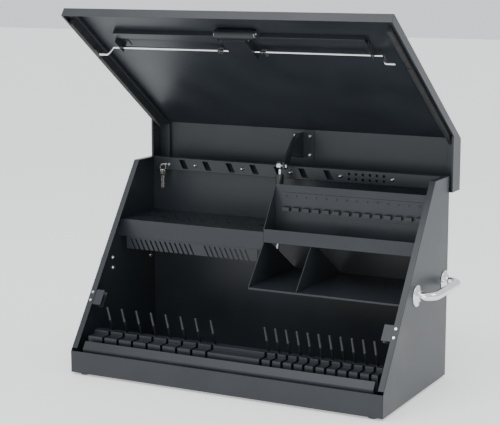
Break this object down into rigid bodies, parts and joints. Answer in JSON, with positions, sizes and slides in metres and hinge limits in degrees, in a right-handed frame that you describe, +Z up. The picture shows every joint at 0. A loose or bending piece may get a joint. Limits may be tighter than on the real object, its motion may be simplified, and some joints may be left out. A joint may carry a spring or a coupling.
{
  "type": "portable tool box",
  "caption": "Wedge-shaped steel tool box with its lid open, inside shelf, tray, bins, wrench rack and back rail, side handles, latch rods and a gas strut.",
  "frame": {"origin": "centre of the case's flat underside, between the four rubber feet, which reach 5 mm lower", "axes": "+X to the right across the width, +Y to the back wall, +Z up"},
  "size_m": [0.855, 0.4219, 0.824],
  "materials": {
    "powder_coat": "semi-gloss black powder coat",
    "latch_black": "satin black paint on the latch box",
    "strut_black": "gloss black painted tube",
    "chrome": "polished chrome plate",
    "zinc_steel": "bright zinc plate",
    "key_nickel": "nickel plate, lightly worn",
    "rubber": "matt black rubber"
  },
  "bodies": {
    "case": {"back_rail": "powder_coat", "back_rail_studs": "zinc_steel", "bin_divider": "powder_coat", "bin_floor": "powder_coat", "bin_screws": "zinc_steel", "bin_side": "powder_coat", "body_wrap": "powder_coat", "catch_left": "powder_coat", "catch_right": "powder_coat", "catch_screws": "zinc_steel", "finger_comb": "powder_coat", "handle_bolts": "zinc_steel", "handle_left": "chrome", "handle_right": "chrome", "handle_rosettes_left": "chrome", "handle_rosettes_right": "chrome", "hinge_body_leaf": "zinc_steel", "hinge_pin": "zinc_steel", "key_hook": "zinc_steel", "left_shelf": "powder_coat", "rack_front_strip": "powder_coat", "rack_pegs_left": "zinc_steel", "rack_pegs_right": "zinc_steel", "rack_screws": "zinc_steel", "right_tray": "powder_coat", "rubber_feet": "rubber", "side_panel_left": "powder_coat", "side_panel_right": "powder_coat", "strut_foot_stud": "zinc_steel", "tray_tool_rail": "powder_coat", "wrench_rack": "powder_coat"},
    "lid": {"lid_shell": "powder_coat", "lid_channel_left": "powder_coat", "lid_channel_right": "powder_coat", "lid_seal_left": "rubber", "lid_seal_right": "rubber", "lid_rib_left": "powder_coat", "lid_rib_right": "powder_coat", "hinge_lid_leaf": "zinc_steel", "latch_housing": "latch_black", "latch_barrel_screws": "zinc_steel", "latch_paddle_pin": "zinc_steel", "rod_guide_left": "powder_coat", "rod_guide_right": "powder_coat", "strut_arm": "powder_coat", "strut_arm_screws": "zinc_steel"},
    "paddle": {"latch_paddle": "chrome"},
    "lock": {"lock_plug": "key_nickel", "lock_cam": "zinc_steel"},
    "rod_left": {"lock_rod_left": "chrome", "rod_clip_left": "zinc_steel"},
    "rod_right": {"lock_rod_right": "chrome", "rod_clip_right": "zinc_steel"},
    "strut_lower": {"strut_rod": "chrome"},
    "strut_upper": {"strut_tube": "strut_black", "strut_top_end": "zinc_steel"},
    "key_ring": {"key_ring": "key_nickel"},
    "key_front": {"key_front": "key_nickel"},
    "key_back": {"key_back": "key_nickel"}
  },
  "joints": [
    {"name": "lid_hinge", "type": "hinge", "parent": "case", "child": "lid", "pos_m": [0, 0.1882, 0.4166], "axis": [1, 0, 0], "range_deg": [0, 90]},
    {"name": "strut_foot_pivot", "type": "hinge", "parent": "case", "child": "strut_lower", "pos_m": [-0.012, 0.122, 0.225], "axis": [1, 0, 0], "range_deg": [-6.8, 0]},
    {"name": "strut_slide", "type": "slide", "parent": "strut_lower", "child": "strut_upper", "axis": [0, 0.0645, 0.9979], "range_m": [-0.08993, 0]},
    {"name": "paddle_pull", "type": "hinge", "parent": "lid", "child": "paddle", "pos_m": [0, -0.10118, 0.75713], "axis": [1, 0, 0], "range_deg": [0, 28], "stiffness_Nm_per_rad": 0.4},
    {"name": "rod_left_slide", "type": "slide", "parent": "lid", "child": "rod_left", "axis": [1, 0, 0], "range_m": [0, 0.014]},
    {"name": "rod_right_slide", "type": "slide", "parent": "lid", "child": "rod_right", "axis": [1, 0, 0], "range_m": [-0.014, 0]},
    {"name": "lock_turn", "type": "hinge", "parent": "paddle", "child": "lock", "pos_m": [0, -0.07734, 0.7441], "axis": [0, 0.5733, 0.8193], "range_deg": [0, 90]},
    {"name": "key_ring_swing", "type": "hinge", "parent": "case", "child": "key_ring", "pos_m": [-0.338, 0.1585, 0.4365], "axis": [0, 1, 0], "range_deg": [-30, 30]},
    {"name": "key_front_swing", "type": "hinge", "parent": "key_ring", "child": "key_front", "pos_m": [-0.338, 0.1585, 0.42105], "axis": [1, 0, 0], "range_deg": [-60, 10]},
    {"name": "key_back_swing", "type": "hinge", "parent": "key_ring", "child": "key_back", "pos_m": [-0.338, 0.1585, 0.42105], "axis": [1, 0, 0], "range_deg": [-60, 10]}
  ],
  "couplings": [
    {"joint": "strut_foot_pivot", "follows": "lid_hinge", "ratio": -0.07459},
    {"joint": "strut_slide", "follows": "lid_hinge", "m_per_rad": -0.057126},
    {"joint": "rod_left_slide", "follows": "paddle_pull", "m_per_rad": 0.0286},
    {"joint": "rod_right_slide", "follows": "paddle_pull", "m_per_rad": -0.0286}
  ]
}
